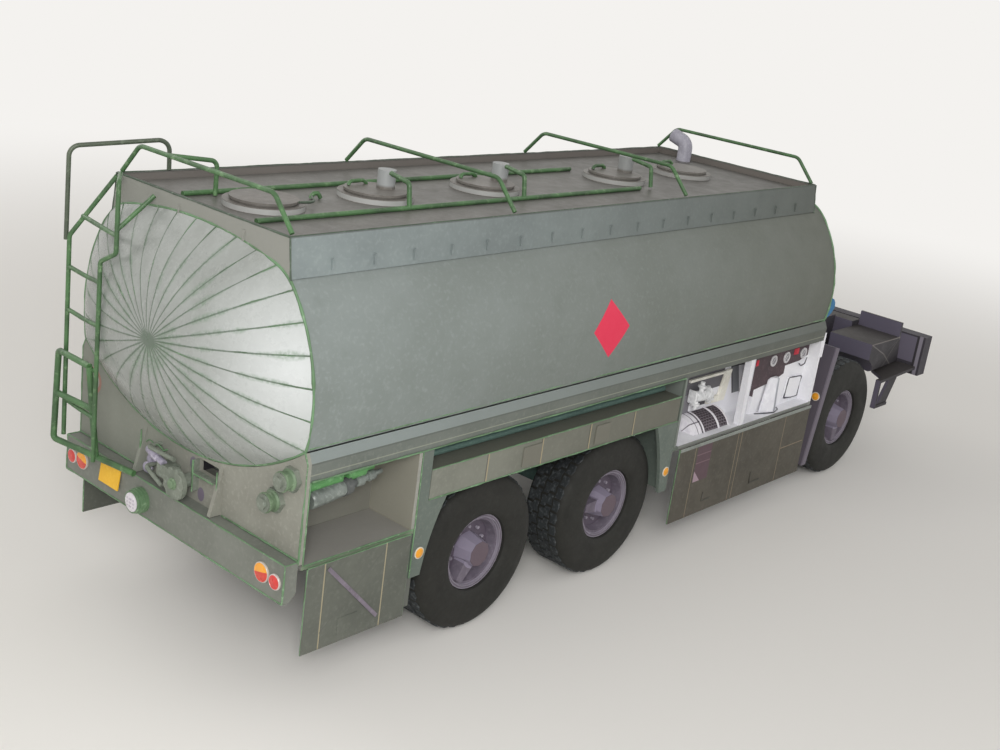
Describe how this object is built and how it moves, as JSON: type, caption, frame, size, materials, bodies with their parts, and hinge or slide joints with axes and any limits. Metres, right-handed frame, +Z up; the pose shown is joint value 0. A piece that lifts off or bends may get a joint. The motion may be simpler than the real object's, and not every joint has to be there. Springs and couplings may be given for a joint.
{
  "type": "tanker truck scale model",
  "caption": "Card scale model of a six-wheeled fuel tanker truck without its cab: domed tank with railed deck, ladder, drop-down locker doors and rolling wheels.",
  "frame": {"origin": "on the ground, under the middle of the whole length and width", "axes": "+X forward, +Y to the truck's left, +Z up"},
  "size_m": [0.3008, 0.0808, 0.1057],
  "materials": {
    "tank_card": "printed card, matt, faded olive grey",
    "rear_head_card": "printed card gores, matt",
    "front_head_card": "blue card, semi-matt",
    "deck_card": "printed card, matt, brownish grey",
    "skirt_card": "printed card, matt, bluish grey",
    "rear_card": "printed card, matt, grey green",
    "door_card": "printed card, matt, brown grey",
    "chassis_card": "painted card, matt, dark grey",
    "tube_card": "painted rolled card, matt, blue green",
    "white_card": "plain white card",
    "wire": "green paint on steel wire",
    "tyre_black": "matt black",
    "rim_grey": "matt grey violet",
    "lamp": "gloss",
    "amber_lamp": "gloss",
    "plate_yellow": "printed card, plain yellow"
  },
  "bodies": {
    "body": {"tank_barrel": "tank_card", "rear_head": "rear_head_card", "front_head": "front_head_card", "top_box": "tank_card", "deck": "deck_card", "manholes": "deck_card", "deck_pipes": "wire", "hoop_rear": "wire", "hoop_mid_1": "wire", "hoop_mid_2": "wire", "hoop_front": "wire", "vent_elbow": "wire", "ladder": "wire", "ladder_step": "wire", "ladder_hoop": "wire", "sills": "skirt_card", "backbone": "tube_card", "frame_rails": "chassis_card", "saddles": "chassis_card", "rear_cabinet": "rear_card", "rear_fittings": "rear_card", "rear_bumper": "rear_card", "rear_lamps": "lamp", "number_plate": "plate_yellow", "lockers": "rear_card", "locker_tools": "tube_card", "pump_cabinets": "white_card", "pump_set": "door_card", "fenders": "skirt_card", "hose_tubes": "tube_card", "posts": "rear_card", "mud_flaps": "chassis_card", "marker_lamps": "amber_lamp", "front_platform": "chassis_card", "side_steps": "chassis_card", "front_bumper": "chassis_card"},
    "wheel_rear_right": {"tyre_rear_right": "tyre_black", "rim_rear_right": "rim_grey"},
    "wheel_rear_left": {"tyre_rear_left": "tyre_black", "rim_rear_left": "rim_grey"},
    "wheel_mid_right": {"tyre_mid_right": "tyre_black", "rim_mid_right": "rim_grey"},
    "wheel_mid_left": {"tyre_mid_left": "tyre_black", "rim_mid_left": "rim_grey"},
    "wheel_front_right": {"tyre_front_right": "tyre_black", "rim_front_right": "rim_grey"},
    "wheel_front_left": {"tyre_front_left": "tyre_black", "rim_front_left": "rim_grey"},
    "locker_door_right": {"locker_door_right": "door_card"},
    "locker_door_left": {"locker_door_left": "door_card"},
    "pump_door_right": {"pump_door_right": "door_card"},
    "pump_door_left": {"pump_door_left": "door_card"}
  },
  "joints": [
    {"name": "wheel_rear_right_spin", "type": "hinge", "parent": "body", "child": "wheel_rear_right", "pos_m": [-0.0816, -0.03, 0.0196], "axis": [0, 1, 0], "continuous": true},
    {"name": "wheel_rear_left_spin", "type": "hinge", "parent": "body", "child": "wheel_rear_left", "pos_m": [-0.0816, 0.03, 0.0196], "axis": [0, 1, 0], "continuous": true},
    {"name": "wheel_mid_right_spin", "type": "hinge", "parent": "body", "child": "wheel_mid_right", "pos_m": [-0.0316, -0.03, 0.0196], "axis": [0, 1, 0], "continuous": true},
    {"name": "wheel_mid_left_spin", "type": "hinge", "parent": "body", "child": "wheel_mid_left", "pos_m": [-0.0316, 0.03, 0.0196], "axis": [0, 1, 0], "continuous": true},
    {"name": "wheel_front_right_spin", "type": "hinge", "parent": "body", "child": "wheel_front_right", "pos_m": [0.0967, -0.03, 0.0196], "axis": [0, 1, 0], "continuous": true},
    {"name": "wheel_front_left_spin", "type": "hinge", "parent": "body", "child": "wheel_front_left", "pos_m": [0.0967, 0.03, 0.0196], "axis": [0, 1, 0], "continuous": true},
    {"name": "locker_door_right_swing", "type": "hinge", "parent": "body", "child": "locker_door_right", "pos_m": [-0.1238, -0.04, 0.0337], "axis": [-1, 0, 0], "range_deg": [0, 180]},
    {"name": "locker_door_left_swing", "type": "hinge", "parent": "body", "child": "locker_door_left", "pos_m": [-0.1238, 0.04, 0.0337], "axis": [1, 0, 0], "range_deg": [0, 180]},
    {"name": "pump_door_right_swing", "type": "hinge", "parent": "body", "child": "pump_door_right", "pos_m": [0.029, -0.04, 0.0317], "axis": [-1, 0, 0], "range_deg": [0, 180]},
    {"name": "pump_door_left_swing", "type": "hinge", "parent": "body", "child": "pump_door_left", "pos_m": [0.029, 0.04, 0.0317], "axis": [1, 0, 0], "range_deg": [0, 180]}
  ]
}
